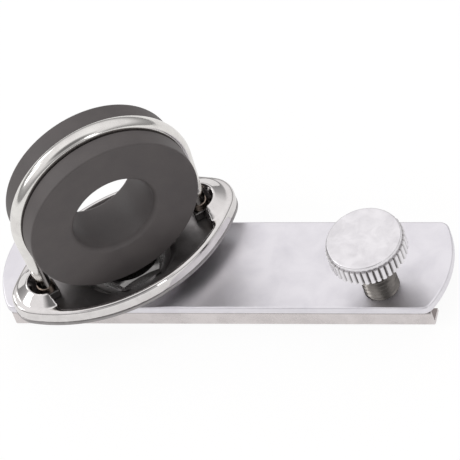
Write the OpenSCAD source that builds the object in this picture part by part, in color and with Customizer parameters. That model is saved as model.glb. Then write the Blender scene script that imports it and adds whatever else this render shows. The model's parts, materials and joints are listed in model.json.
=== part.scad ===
// Sheet lead car for a sail track: a folded channel with a flat top plate, a
// swivelling oval base that carries a wire hoop and a bull's-eye, and a knurled
// clamp screw. Millimetres; X runs along the track, Z up, Z = 0 is the underside
// of the channel, and the origin is under the middle of the top plate.

/* [Track channel] */
// Length of the folded channel
channel_len = 120; // [100:1:126]
// Outside width of the channel
channel_w = 28; // [27:0.5:28.5]
// Thickness of the channel's sheet
sheet_t = 1.2; // [1:0.1:1.4]
// Height of the slot that takes the head of the track
slot_h = 4.5; // [4.2:0.1:5]
// Width of the gap between the two lips
lip_gap = 17; // [14:0.5:18]
// Outside radius of the folds
fold_r = 1.6; // [1.2:0.1:2]

/* [Top plate] */
// Length of the top plate over its rounded ends
plate_len = 128.4; // [126:0.1:132]
// Width of the top plate
plate_w = 29.8; // [29:0.1:30]
// Thickness of the top plate
plate_t = 2.5; // [2:0.1:3]
// Radius of the plate's rounded ends
plate_end_r = 29; // [24:0.5:40]
// Radius that blends the ends into the sides
plate_corner_r = 3; // [1:0.5:4]

/* [Swivel] */
// Distance of the swivel axis behind the middle of the plate
swivel_back = 27.5; // [26:0.1:30]
// Angle of the oval base to the track at rest
base_yaw = 37; // [0:0.5:90]
// Diameter of the pivot bolt
pivot_d = 12; // [10:0.5:12]
// Width across the flats of the pivot bolt's head
pivot_head_af = 19; // [17:0.5:19]
// Height of the pivot bolt's head
pivot_head_h = 2.4; // [1.6:0.1:2.6]

/* [Oval base] */
// Half the length of the oval
oval_half_len = 34; // [33.8:0.1:35]
// Half the width of the oval
oval_half_w = 19; // [18.6:0.1:19.5]
// Radius of the oval's two tips
oval_tip_r = 8; // [7:0.5:8.5]
// Height of the sole plate's underside above the top plate
sole_gap = 4; // [3.6:0.1:4.4]
// Thickness of the sole plate
sole_t = 1.2; // [1:0.1:1.4]
// Height of the polished rim above the sole plate
rim_h = 4; // [3.8:0.1:4.6]
// Wall of the rim along its long sides
rim_wall = 2.4; // [2:0.1:2.8]
// Height of the rise that the end pads make around the hoop's legs
pad_rise = 2.6; // [2:0.1:3]
// Half the length of the well between the end pads
well_half_len = 23.4; // [23:0.1:24]
// Radius of the notches that the hoop's legs stand in
notch_r = 4.4; // [4.2:0.1:4.6]

/* [Hoop and bull's-eye] */
// Diameter of the hoop's wire
wire_d = 4; // [3.8:0.1:4.2]
// Angle at which the hoop's legs lean in below the bull's-eye
leg_lean = 3; // [1:0.5:4]
// Outside diameter of the bull's-eye
eye_d = 50; // [49.5:0.5:50.5]
// Diameter of the bull's-eye's bore
eye_bore_d = 24; // [20:1:28]
// Thickness of the bull's-eye
eye_t = 17.2; // [15:0.2:18]
// Height of the bull's-eye's centre above the top plate
eye_up = 31; // [30.8:0.1:32]
// Radius of the rounded mouths of the bore
mouth_r = 1.5; // [1:0.1:2]
// Width across the flats of the square nuts on the hoop's legs
leg_nut_af = 5.2; // [5:0.1:5.4]
// Height of those nuts
leg_nut_h = 3; // [2.6:0.1:3.6]

/* [Clamp screw] */
// Place of the screw along the plate
screw_x = 45.8; // [40:0.1:48]
// Place of the screw across the plate
screw_y = -7.2; // [-7.4:0.1:7.4]
// Major diameter of the screw's thread
screw_d = 10; // [9.8:0.1:10.2]
// Pitch of the screw's thread
screw_pitch = 1.5; // [1.25:0.25:1.5]
// Height of the screw's top above the top plate
screw_up = 21.3; // [18:0.1:24]
// Diameter of the knurled head
head_d = 22.2; // [20:0.1:24]
// Height of the knurled head
head_h = 6.4; // [5:0.1:7]
// Number of teeth in the knurl
teeth = 40; // [30:1:48]

/* [Hidden] */

$fn = 96;
run_gap = 0.06;        // radial clearance of a running fit
face_gap = 0.05;       // gap between faces that slide on each other
roof_z = sheet_t + slot_h;
channel_h = roof_z + sheet_t;
plate_top = channel_h + plate_t;

// Pivot stack, bottom to top, above the top plate
thrust_t = 0.8;
dish_t = 1;
dish_z = plate_top + thrust_t + face_gap;
spring_t = 0.4;
spring_z = dish_z + dish_t + face_gap;
pivot_head_z = spring_z + spring_t;
dish_r = 12.2;
dish_flare = 2.6;
bush_wall = 1.5;
rivet_d = 5;
rivet_x = 13;

// Oval base
sole_z = plate_top + sole_gap;
rim_z = sole_z + sole_t;
rim_top = rim_z + rim_h;
edge_r = 1.2;
rise_r = notch_r + 0.6;
rise_slope = 1.3;

// Hoop
hoop_r = eye_d / 2 + 0.1;
eye_z = plate_top + eye_up;
seat_gap = 0.08;        // clearance between the wire and the bottom of its groove
groove_r = 3.2;
ferrule_h = 2.2;
ferrule_r = wire_d / 2 + 0.5;
leg_len = (eye_z - hoop_r * sin(leg_lean) - sole_z) / cos(leg_lean);
leg_x = hoop_r * cos(leg_lean) - leg_len * sin(leg_lean);
ferrule_x = leg_x + (rim_z + leg_nut_h - sole_z) * tan(leg_lean);
leg_fit = 0.02;        // keeps the legs' surface clear of the bores they fill
screw_hole_r = screw_d / 2 + run_gap;

// Clamp screw
thread_depth = 0.8;
stud_tip_z = roof_z + 1.1;
head_z = plate_top + screw_up - head_h;
pad_t = 1;
pad_r = 3.8;
dog_r = 1.5;
dog_h = 0.6;
tooth_depth = 0.7;
head_band_h = 1.8;
cap_r = head_d / 2 - 0.6;
neck_r = head_d / 2 - 0.8;

// Radius of the long arcs of an oval with the given half length, half width and tips
function side_r(l, w, t) = (pow(l - t, 2) + w * w - t * t) / (2 * (w - t));

// Outline of the oval, shrunk all round by the inset
module oval(inset = 0) {
    l = oval_half_len - inset;
    w = oval_half_w - inset;
    t = oval_tip_r - inset;
    r = side_r(l, w, t);
    tip_x = l - t;
    reach = tip_x + t * tip_x / (r - t);
    intersection() {
        translate([0, w - r]) circle(r, $fn = 256);
        translate([0, r - w]) circle(r, $fn = 256);
        square([2 * reach, 2 * w], center = true);
    }
    for (s = [-1, 1]) translate([s * tip_x, 0]) circle(t, $fn = 64);
}

// Rectangle with four round corners
module round_rect(w, h, r) {
    square([w - 2 * r, h], center = true);
    square([w, h - 2 * r], center = true);
    for (x = [-1, 1], y = [-1, 1])
        translate([x * (w / 2 - r), y * (h / 2 - r)]) circle(r, $fn = 32);
}

// Puts its children on the swivel axis, turned with the oval base
module on_swivel() {
    translate([-swivel_back, 0, 0]) rotate([0, 0, base_yaw]) children();
}

// Puts its children on the axis of the clamp screw
module on_screw() {
    translate([screw_x, screw_y, 0]) children();
}

// Folded channel that rides on the head of the track
module track_channel() {
    color("gainsboro")
    difference() {
        rotate([90, 0, 90]) linear_extrude(channel_len, center = true)
            difference() {
                translate([0, channel_h / 2]) round_rect(channel_w, channel_h, fold_r);
                translate([0, sheet_t + slot_h / 2])
                    round_rect(channel_w - 2 * sheet_t, slot_h, fold_r - sheet_t + 0.1);
                square([lip_gap, 3 * sheet_t], center = true);
            }
        on_screw() translate([0, 0, roof_z - 1]) cylinder(sheet_t + 2, r = screw_hole_r);
        pivot_hole();
        rivet_holes();
    }
}

// Hole for the pivot bolt's threaded end
module pivot_hole() {
    on_swivel() translate([0, 0, roof_z - 1])
        cylinder(sheet_t + plate_t + 2, r = pivot_d / 2 + 0.02);
}

// Places of the two flush rivets that join plate and channel
module at_rivets() {
    for (x = [-rivet_x, rivet_x]) translate([x - swivel_back, 0, 0]) children();
}

// Holes for those rivets
module rivet_holes() {
    at_rivets() translate([0, 0, roof_z - 1])
        cylinder(sheet_t + plate_t + 2, r = rivet_d / 2 + 0.02);
}

// Outline of the top plate: straight sides and shallow round ends
module plate_outline() {
    c = plate_len / 2 - plate_end_r;
    reach = plate_end_r - plate_corner_r;
    corner_y = plate_w / 2 - plate_corner_r;
    corner_x = c + sqrt(reach * reach - corner_y * corner_y);
    square([2 * corner_x, plate_w], center = true);
    for (s = [-1, 1]) {
        intersection() {
            translate([s * c, 0]) circle(plate_end_r, $fn = 256);
            translate([s * plate_len / 4, 0])
                square([plate_len / 2, 2 * corner_y * plate_end_r / reach], center = true);
        }
        for (t = [-1, 1]) translate([s * corner_x, t * corner_y])
            circle(plate_corner_r, $fn = 48);
    }
}

// Flat top plate with the hole for the clamp screw
module top_plate() {
    color("lavender")
    difference() {
        translate([0, 0, channel_h]) linear_extrude(plate_t) plate_outline();
        on_screw() translate([0, 0, roof_z]) cylinder(plate_t + 4, r = screw_hole_r);
        pivot_hole();
        rivet_holes();
    }
}

// Two flush rivets under the oval base
module plate_rivets() {
    color("silver")
    at_rivets() translate([0, 0, roof_z]) cylinder(sheet_t + plate_t, d = rivet_d);
}

// Pivot bolt, threaded into plate and channel, with a low hexagon head
module pivot_bolt() {
    color("silver")
    on_swivel() {
        translate([0, 0, roof_z]) cylinder(pivot_head_z - roof_z, d = pivot_d);
        translate([0, 0, pivot_head_z]) intersection() {
            cylinder(pivot_head_h, d = pivot_head_af / cos(30), $fn = 6);
            rotate_extrude() polygon([
                [0, 0], [pivot_head_af / 2 + 2, 0], [pivot_head_af / 2 + 2, pivot_head_h * 0.5],
                [pivot_head_af / 2 - 0.2, pivot_head_h], [0, pivot_head_h]]);
        }
    }
}

// Plain washer that the swivel turns on
module thrust_washer() {
    color("ivory")
    on_swivel() translate([0, 0, plate_top]) difference() {
        cylinder(thrust_t, r = dish_r - 0.4);
        translate([0, 0, -1]) cylinder(thrust_t + 2, r = pivot_d / 2 + bush_wall + 0.4);
    }
}

// Thin washer under the bolt head that keeps the swivel from rattling
module spring_washer() {
    color("silver")
    on_swivel() translate([0, 0, spring_z]) difference() {
        cylinder(spring_t, r = pivot_head_af / 2 + 0.6);
        translate([0, 0, -1]) cylinder(spring_t + 2, d = pivot_d);
    }
}

// Bush pressed into the dish of the sole plate
module pivot_bush() {
    color("darkgoldenrod")
    on_swivel() translate([0, 0, dish_z]) difference() {
        cylinder(dish_t, r = pivot_d / 2 + bush_wall);
        translate([0, 0, -1]) cylinder(dish_t + 2, r = pivot_d / 2 + run_gap);
    }
}

// Places of the four screws that hold the rim on the sole plate
module at_sole_screws() {
    for (x = [-1, 1], y = [-1, 1]) translate([x * 28.4, y * 4.9, 0]) children();
}

// Pressed sole plate: an oval flange with a round dish in the middle
module sole_plate() {
    color("lightgray")
    on_swivel() difference() {
        union() {
            translate([0, 0, sole_z]) linear_extrude(sole_t) oval();
            rotate_extrude() polygon([
                [0, dish_z], [dish_r, dish_z], [dish_r + dish_flare, sole_z], [0, sole_z]]);
        }
        rotate_extrude() polygon([
            [0, dish_z + dish_t], [dish_r - 0.4, dish_z + dish_t],
            [dish_r + dish_flare - 0.9, rim_z], [dish_r + dish_flare - 0.9, rim_z + 1],
            [0, rim_z + 1]]);
        translate([0, 0, dish_z - 1]) cylinder(dish_t + 2, r = pivot_d / 2 + bush_wall + 0.02);
        legs(wire_d / 2 + leg_fit);
        at_sole_screws() {
            translate([0, 0, sole_z - 1]) cylinder(sole_t + 2, r = 1.27);
            translate([0, 0, sole_z]) cylinder(sole_t, r1 = 2.42, r2 = 1.22);
        }
    }
}

// Countersunk screws from below, into the end pads
module sole_screws() {
    color("silver")
    on_swivel() at_sole_screws() translate([0, 0, sole_z]) {
        cylinder(sole_t, r1 = 2.4, r2 = 1.2);
        cylinder(sole_t + 3, r = 1.2);
    }
}

// Outline of the well inside the rim, with a notch at each end for a leg
module well() {
    r = side_r(oval_half_len, oval_half_w, oval_tip_r);
    intersection() {
        translate([0, oval_half_w - r]) circle(r - rim_wall, $fn = 256);
        translate([0, r - oval_half_w]) circle(r - rim_wall, $fn = 256);
        square([2 * well_half_len, 2 * oval_half_w], center = true);
    }
    for (s = [-1, 1]) translate([s * leg_x, 0]) circle(notch_r);
}

// Disc whose top edge is rounded
module domed_disc(r) {
    rotate_extrude($fn = 256) {
        square([r - edge_r, rim_h]);
        square([r, rim_h - edge_r]);
        translate([r - edge_r, rim_h - edge_r]) circle(edge_r, $fn = 48);
    }
}

// Polished oval rim with a solid pad at each end
module base_rim() {
    r = side_r(oval_half_len, oval_half_w, oval_tip_r);
    tip_x = oval_half_len - oval_tip_r;
    reach = tip_x + oval_tip_r * tip_x / (r - oval_tip_r);
    color("silver")
    on_swivel() translate([0, 0, rim_z]) difference() {
        union() {
            intersection() {
                translate([0, oval_half_w - r, 0]) domed_disc(r);
                translate([0, r - oval_half_w, 0]) domed_disc(r);
                translate([-reach, -oval_half_w, 0]) cube([2 * reach, 2 * oval_half_w, rim_h]);
            }
            for (s = [-1, 1]) translate([s * tip_x, 0, 0]) domed_disc(oval_tip_r);
            intersection() {
                linear_extrude(rim_h + pad_rise) oval(edge_r);
                for (s = [-1, 1]) translate([s * leg_x, 0, rim_h - 1])
                    cylinder(pad_rise + 1, r1 = rise_r + (pad_rise + 1) * rise_slope, r2 = rise_r);
            }
        }
        translate([0, 0, -1]) linear_extrude(rim_h + pad_rise + 2) well();
        at_sole_screws() translate([0, 0, -1]) cylinder(4.2, r = 1.22);
    }
}

// Straight lower ends of the hoop, or the bores that they go through
module legs(r) {
    translate([0, 0, eye_z]) rotate([90, 0, 0]) {
        rotate([0, 0, -leg_lean]) translate([hoop_r, 0, 0])
            rotate([90, 0, 0]) cylinder(leg_len, r = r, $fn = 48);
        rotate([0, 0, 180 + leg_lean]) translate([hoop_r, 0, 0])
            rotate([-90, 0, 0]) cylinder(leg_len, r = r, $fn = 48);
    }
}

// Wire hoop: a half circle over the bull's-eye and two legs that lean in a little
module wire_hoop() {
    color("silver")
    on_swivel() {
        translate([0, 0, eye_z]) rotate([90, 0, 0]) rotate([0, 0, -leg_lean])
            rotate_extrude(angle = 180 + 2 * leg_lean) translate([hoop_r, 0])
                circle(d = wire_d, $fn = 48);
        legs(wire_d / 2);
    }
}

// Square nuts that hold the legs down on the sole plate
module leg_nuts() {
    color("dimgray")
    on_swivel() difference() {
        for (s = [-1, 1]) translate([s * leg_x, 0, rim_z + leg_nut_h / 2])
            cube([leg_nut_af, leg_nut_af, leg_nut_h], center = true);
        legs(wire_d / 2 + leg_fit);
    }
}

// Short ferrules around the legs on top of the nuts
module leg_ferrules() {
    color("tan")
    on_swivel() difference() {
        for (s = [-1, 1]) translate([s * ferrule_x, 0, rim_z + leg_nut_h])
            rotate([0, s * leg_lean, 0]) cylinder(ferrule_h, r1 = ferrule_r, r2 = ferrule_r - 0.2);
        translate([-2 * oval_half_len, -oval_half_w, rim_z])
            cube([4 * oval_half_len, 2 * oval_half_w, leg_nut_h]);
        legs(wire_d / 2 + leg_fit);
    }
}

// Bull's-eye: a thick ring with a round bore and a groove for the wire
module bulls_eye() {
    h = eye_t / 2;
    bore = eye_bore_d / 2;
    rim = eye_d / 2;
    color("dimgray")
    on_swivel() translate([0, 0, eye_z]) rotate([90, 0, 0]) rotate_extrude($fn = 192)
        difference() {
            translate([bore, -h]) square([rim - bore, eye_t]);
            translate([hoop_r - wire_d / 2 - seat_gap + groove_r, 0]) circle(groove_r, $fn = 64);
            for (s = [-1, 1]) difference() {
                translate([bore - 1, s * (h + 1) - (mouth_r + 1) / 2 - s * (mouth_r + 1) / 2])
                    square([mouth_r + 1, mouth_r + 1]);
                translate([bore + mouth_r, s * (h - mouth_r)]) circle(mouth_r, $fn = 32);
            }
        }
}

// Knurled head of the clamp screw
module knurled_head() {
    step = 360 / teeth;
    root_r = head_d / 2 - tooth_depth;
    knurl = [for (i = [0 : teeth - 1]) each [
        head_d / 2 * [cos((i - 0.18) * step), sin((i - 0.18) * step)],
        head_d / 2 * [cos((i + 0.18) * step), sin((i + 0.18) * step)],
        root_r * [cos((i + 0.42) * step), sin((i + 0.42) * step)],
        root_r * [cos((i + 0.58) * step), sin((i + 0.58) * step)]]];
    color("lavender")
    on_screw() difference() {
        translate([0, 0, head_z]) union() {
            linear_extrude(head_h - head_band_h) polygon(knurl);
            translate([0, 0, head_h - head_band_h]) rotate_extrude() polygon([
                [0, 0], [neck_r, 0], [neck_r, 0.5], [cap_r, 0.7],
                [cap_r, head_band_h - 0.3], [cap_r - 0.3, head_band_h], [0, head_band_h]]);
        }
        translate([0, 0, head_z - 1]) cylinder(4, r = screw_d / 2 - thread_depth + 0.02);
    }
}

// Threaded stud of the clamp screw, its thread drawn as rings
module screw_stud() {
    core = screw_d / 2 - thread_depth;
    turns = floor((head_z - stud_tip_z - 0.4) / screw_pitch);
    color("gray")
    on_screw() {
        translate([0, 0, stud_tip_z - dog_h]) cylinder(dog_h + 1, r = dog_r);
        translate([0, 0, stud_tip_z]) cylinder(head_z + 3 - stud_tip_z, r = core);
        for (i = [0 : turns - 1]) translate([0, 0, stud_tip_z + 0.2 + i * screw_pitch])
            rotate_extrude() polygon([
                [0, 0], [core, 0], [screw_d / 2, screw_pitch * 0.42],
                [screw_d / 2, screw_pitch * 0.54], [core, screw_pitch * 0.96],
                [0, screw_pitch * 0.96]]);
    }
}

// Small pad on the screw's tip that bears on the track
module clamp_pad() {
    color("goldenrod")
    on_screw() translate([0, 0, stud_tip_z - pad_t - face_gap]) difference() {
        cylinder(pad_t, r = pad_r);
        translate([0, 0, pad_t - dog_h]) cylinder(dog_h + 1, r = dog_r + run_gap);
    }
}

track_channel();
top_plate();
plate_rivets();
pivot_bolt();
thrust_washer();
spring_washer();
pivot_bush();
sole_plate();
sole_screws();
base_rim();
wire_hoop();
leg_nuts();
leg_ferrules();
bulls_eye();
knurled_head();
screw_stud();
clamp_pad();
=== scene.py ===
"""Sheet lead car for a sail track: the finished looks of every piece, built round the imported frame.

The folded channel rides on the track. On its flat top plate stand a swivelling oval base with a
wire hoop and a bull's-eye, and a knurled clamp screw. All lengths here are in metres.
"""

import json
import math

import bmesh
import bpy
from bpy.props import FloatProperty, FloatVectorProperty, IntProperty, PointerProperty
from mathutils import Matrix, Vector


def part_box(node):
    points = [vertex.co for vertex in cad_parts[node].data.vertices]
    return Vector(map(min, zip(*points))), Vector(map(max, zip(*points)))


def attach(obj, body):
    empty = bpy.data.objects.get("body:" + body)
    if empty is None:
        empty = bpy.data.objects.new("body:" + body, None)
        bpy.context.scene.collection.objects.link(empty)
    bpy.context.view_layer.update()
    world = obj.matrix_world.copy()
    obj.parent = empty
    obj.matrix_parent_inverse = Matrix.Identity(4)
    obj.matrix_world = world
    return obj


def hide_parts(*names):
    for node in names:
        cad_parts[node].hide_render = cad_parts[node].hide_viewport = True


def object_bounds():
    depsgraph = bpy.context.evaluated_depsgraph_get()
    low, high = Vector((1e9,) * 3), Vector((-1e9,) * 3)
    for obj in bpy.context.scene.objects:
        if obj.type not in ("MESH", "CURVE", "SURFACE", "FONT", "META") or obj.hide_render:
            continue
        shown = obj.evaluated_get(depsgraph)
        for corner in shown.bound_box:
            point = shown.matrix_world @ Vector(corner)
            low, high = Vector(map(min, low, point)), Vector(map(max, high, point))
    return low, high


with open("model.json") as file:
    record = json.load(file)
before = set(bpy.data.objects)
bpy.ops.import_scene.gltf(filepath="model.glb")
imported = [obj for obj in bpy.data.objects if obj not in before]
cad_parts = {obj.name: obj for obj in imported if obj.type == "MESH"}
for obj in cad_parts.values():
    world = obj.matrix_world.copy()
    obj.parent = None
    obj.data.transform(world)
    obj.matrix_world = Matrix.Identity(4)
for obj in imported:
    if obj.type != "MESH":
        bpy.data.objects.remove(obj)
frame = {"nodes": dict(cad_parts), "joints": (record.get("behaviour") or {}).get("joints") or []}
cad_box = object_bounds()

bl_info = {
    "name": "Sheet Lead Car",
    "version": (1, 0, 0),
    "blender": (4, 5, 0),
    "location": "View3D > Sidebar > Lead Car",
    "description": "Models the looks of a sheet lead car round its packed frame",
    "category": "Add Mesh",
}

MM = 0.001
JOINTS = {joint["name"]: joint for joint in frame["joints"]}
SWIVEL_AXIS = Vector(JOINTS["base_swivel"]["pos_m"])
EYE_CENTRE = Vector(JOINTS["eye_turn"]["pos_m"])
SCREW_AXIS = Vector(JOINTS["screw_turn"]["pos_m"])
PLATE_LOW, PLATE_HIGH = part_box("top_plate")
CHANNEL_LOW, CHANNEL_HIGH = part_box("track_channel")
EYE_LOW, EYE_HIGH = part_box("bulls_eye")
NUTS_LOW, NUTS_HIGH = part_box("leg_nuts")
HEAD_LOW, HEAD_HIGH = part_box("knurled_head")
STUD_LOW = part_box("screw_stud")[0]
RIM_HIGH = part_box("base_rim")[1]
SOLE_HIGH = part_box("sole_plate")[1]
BUSH_LOW, BUSH_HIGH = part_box("pivot_bush")

# The oval base is drawn along X and then turned on the swivel axis to its angle at rest
YAW = math.atan2(JOINTS["eye_turn"]["axis"][0], -JOINTS["eye_turn"]["axis"][1])
ON_SWIVEL = Matrix.Translation((SWIVEL_AXIS.x, SWIVEL_AXIS.y, 0)) @ Matrix.Rotation(YAW, 4, "Z")
ON_EYE = ON_SWIVEL @ Matrix.Translation((0, 0, EYE_CENTRE.z))
ON_SCREW = Matrix.Translation((SCREW_AXIS.x, SCREW_AXIS.y, 0))

# Axes along which the turned pieces' lathe marks run
PIVOT_LINE = (SWIVEL_AXIS.x, SWIVEL_AXIS.y, 0)
SCREW_LINE = (SCREW_AXIS.x, SCREW_AXIS.y, 0)

WELD = 0.002 * MM  # points closer than this become one
SAME_HEIGHT = 0.1 * MM  # slack when edges are picked by their height
SPILL = MM  # how far a cutter reaches past what it cuts
WIRE_SEAT = 0.1 * MM  # how far the wire's middle line lies outside the bull's-eye's rim
SCREW_CLEARANCE = 0.06 * MM  # gap all round the clamp screw in its holes
PIVOT_HOLE = 6.02 * MM  # radius of the pivot bolt's holes
BUSH_HOLE = 7.52 * MM  # radius of the hole for the bush
NUT_FOOT = 1.2 * MM  # depth under the nuts at which a leg's place is taken for them


def length(name, description, default):
    """A length that the user may change, in metres"""
    return FloatProperty(name=name, description=description, default=default,
                         unit="LENGTH", subtype="DISTANCE", precision=5)


def angle(name, description, degrees):
    """An angle that the user may change"""
    return FloatProperty(name=name, description=description, default=math.radians(degrees),
                         unit="ROTATION", subtype="ANGLE")


def colour(name, description, default):
    """A linear colour that the user may change"""
    return FloatVectorProperty(name=name, description=description, default=default,
                               size=3, min=0, max=1, subtype="COLOR")


class CarSizes(bpy.types.PropertyGroup):
    """Sizes of the channel and of the top plate"""

    end_radius: length("End Radius", "Radius of the plate's rounded ends", 29 * MM)
    corner_radius: length("Corner Radius", "Radius between ends and sides", 3 * MM)
    edge_round: length("Edge Round", "Radius of the plate's polished edges", 0.6 * MM)
    sheet: length("Sheet", "Thickness of the channel's sheet", 1.2 * MM)
    lip_gap: length("Lip Gap", "Gap between the channel's lips", 17 * MM)
    fold_radius: length("Fold Radius", "Outside radius of the channel's folds", 1.6 * MM)


class BaseSizes(bpy.types.PropertyGroup):
    """Sizes of the oval base"""

    half_length: length("Half Length", "Half the length of the oval", 34 * MM)
    half_width: length("Half Width", "Half the width of the oval", 19 * MM)
    tip_radius: length("Tip Radius", "Radius of the oval's tips", 8 * MM)
    sole: length("Sole", "Thickness of the sole plate", 1.2 * MM)
    wall: length("Wall", "Wall of the rim along its long sides", 2.4 * MM)
    edge_round: length("Edge Round", "Radius of the rim's outer top edge", 1.2 * MM)
    well_half_length: length("Well Half Length", "Half the length of the well", 23.4 * MM)
    notch_radius: length("Notch Radius", "Radius of the notches round the legs", 4.4 * MM)
    notch_place: length("Notch Place", "Distance of the notches from the middle", 23.72 * MM)
    flare_depth: length("Flare Depth", "How far below the rim's top the well starts to widen", 2 * MM)
    flare_side: length("Flare Side", "How much wider the well gets on its long sides", 2.3 * MM)
    flare_end: length("Flare End", "How much longer the well gets at its ends", 1.15 * MM)
    crest_width: length("Crest Width", "Width of the crest round each notch", 0.25 * MM)
    pad_rise: length("Pad Rise", "Height that the end pads rise to", 2.6 * MM)
    rise_radius: length("Rise Radius", "Radius of the top of the pads' rise", 5 * MM)
    rise_slope: FloatProperty(name="Rise Slope", description="Run per height of that rise", default=1.3)
    dish_radius: length("Dish Radius", "Radius of the pressed dish", 12.2 * MM)
    dish_flare: length("Dish Flare", "How much wider the dish is at the top", 2.6 * MM)


class EyeSizes(bpy.types.PropertyGroup):
    """Sizes of the bull's-eye and its wire hoop"""

    bore: length("Bore", "Diameter of the bull's-eye's bore", 24 * MM)
    mouth: length("Mouth", "Radius of the rounded mouths of the bore", 1.5 * MM)
    edge_round: length("Edge Round", "Radius of the bull's-eye's outer edges", 0.5 * MM)
    wire: length("Wire", "Diameter of the hoop's wire", 4 * MM)
    wire_gap: length("Wire Gap", "Gap between the wire and the bottom of its groove", 0.08 * MM)
    wire_flat: FloatProperty(name="Wire Flat", description="How much wider the bent wire is than round",
                             default=1.2)
    groove: length("Groove", "Radius of the groove for the wire", 3.2 * MM)
    leg_lean: angle("Leg Lean", "Lean of the hoop's legs", 3)
    nut_width: length("Nut Width", "Width of the square nuts", 5.2 * MM)
    ferrule_height: length("Ferrule Height", "Height of the ferrules", 2.2 * MM)


class ScrewSizes(bpy.types.PropertyGroup):
    """Sizes of the clamp screw"""

    teeth: IntProperty(name="Teeth", description="Number of teeth in the knurl", default=40)
    tooth_depth: length("Tooth Depth", "Depth of the knurl", 0.7 * MM)
    band_height: length("Band Height", "Height of the smooth cap over the knurl", 1.8 * MM)
    neck_inset: length("Neck Inset", "How far the neck under the cap stands in from the knurl", 0.8 * MM)
    cap_inset: length("Cap Inset", "How far the cap stands in from the knurl", 0.6 * MM)
    cap_round: length("Cap Round", "Radius of the cap's top edge", 0.45 * MM)
    thread: length("Thread", "Major diameter of the thread", 10 * MM)
    pitch: length("Pitch", "Pitch of the thread", 1.5 * MM)
    thread_depth: length("Thread Depth", "Depth of the thread", 0.8 * MM)


class StageSettings(bpy.types.PropertyGroup):
    """Camera, lights and floor"""

    azimuth: angle("Azimuth", "Camera's angle round the car", 28.06)
    elevation: angle("Elevation", "Camera's angle above the horizon", 48.94)
    roll: angle("Roll", "Camera's roll", 21.9)
    view_width: length("View Width", "Width of the view at the car", 125.7 * MM)
    lens: FloatProperty(name="Lens", description="Focal length in millimetres", default=800)
    shift_right: length("Shift Right", "How far right of the plate's middle the view is centred", 1.03 * MM)
    shift_up: length("Shift Up", "How far above the plate's middle the view is centred", 9.45 * MM)
    floor_colour: colour("Floor", "Colour of the floor", (0.8, 0.785, 0.78))


# ---------------------------------------------------------------------------------------------
# Modelling helpers
# ---------------------------------------------------------------------------------------------

def deselect():
    """Leaves edit mode and selects nothing"""
    if bpy.context.object and bpy.context.object.mode != "OBJECT":
        bpy.ops.object.mode_set(mode="OBJECT")
    bpy.ops.object.select_all(action="DESELECT")


def choose(piece):
    """Makes one piece the only selected and active object"""
    deselect()
    piece.select_set(True)
    bpy.context.view_layer.objects.active = piece


def edit(piece, kind="FACE"):
    """Opens a piece for editing with nothing selected"""
    choose(piece)
    bpy.ops.object.mode_set(mode="EDIT")
    bpy.ops.mesh.select_mode(type=kind)
    bpy.ops.mesh.select_all(action="DESELECT")


def pick_faces(piece, test):
    """Selects the faces that pass a test of centre and normal"""
    mesh = bmesh.from_edit_mesh(piece.data)
    for face in mesh.faces:
        face.select_set(test(face.calc_center_median(), face.normal))
    bmesh.update_edit_mesh(piece.data)


def pick_points(piece, test):
    """Selects the points that pass a test of their place"""
    mesh = bmesh.from_edit_mesh(piece.data)
    for point in mesh.verts:
        point.select_set(test(point.co))
    mesh.select_flush_mode()
    bmesh.update_edit_mesh(piece.data)


def pick_edges(piece, test):
    """Selects the edges whose two ends pass a test of their places"""
    mesh = bmesh.from_edit_mesh(piece.data)
    for edge in mesh.edges:
        edge.select_set(test(edge.verts[0].co, edge.verts[1].co))
    bmesh.update_edit_mesh(piece.data)


def extrude(by):
    """Extrudes what is selected and moves it"""
    bpy.ops.mesh.extrude_region_move(TRANSFORM_OT_translate={"value": by})


def face_out():
    """Turns every face of the open piece outward and leaves edit mode"""
    bpy.ops.mesh.select_all(action="SELECT")
    bpy.ops.mesh.normals_make_consistent(inside=False)
    bpy.ops.object.mode_set(mode="OBJECT")


def put(piece, matrix):
    """Moves a finished mesh to its place and leaves its object at the origin"""
    choose(piece)
    piece.matrix_world = matrix @ piece.matrix_world
    bpy.ops.object.transform_apply(location=True, rotation=True, scale=True)


def apply_modifier(piece, kind, **settings):
    """Adds a modifier with these settings and applies it"""
    choose(piece)
    modifier = piece.modifiers.new(kind.title(), kind)
    for name, value in settings.items():
        setattr(modifier, name, value)
    bpy.ops.object.modifier_apply(modifier=modifier.name)


def combine(piece, other, operation):
    """Joins another solid to a piece, or cuts it away, and removes the other"""
    apply_modifier(piece, "BOOLEAN", object=other, operation=operation, solver="EXACT")
    bpy.data.objects.remove(other)


def soften(piece, sharp=30, flat_faces=True):
    """Smooth shading up to a sharp angle in degrees, with flat faces kept flat"""
    choose(piece)
    bpy.ops.object.shade_smooth_by_angle(angle=math.radians(sharp))
    if flat_faces:
        apply_modifier(piece, "WEIGHTED_NORMAL", keep_sharp=True, weight=60)


def rod(radius, low, high, at=(0, 0), sides=64, top_radius=None):
    """A round bar or cone along Z, as a start or as a cutter"""
    deselect()
    top = radius if top_radius is None else top_radius
    bpy.ops.mesh.primitive_cone_add(vertices=sides, radius1=radius, radius2=top, depth=high - low,
                                    location=(at[0], at[1], (low + high) / 2))
    bpy.ops.object.transform_apply(location=True)
    return bpy.context.object


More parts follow.
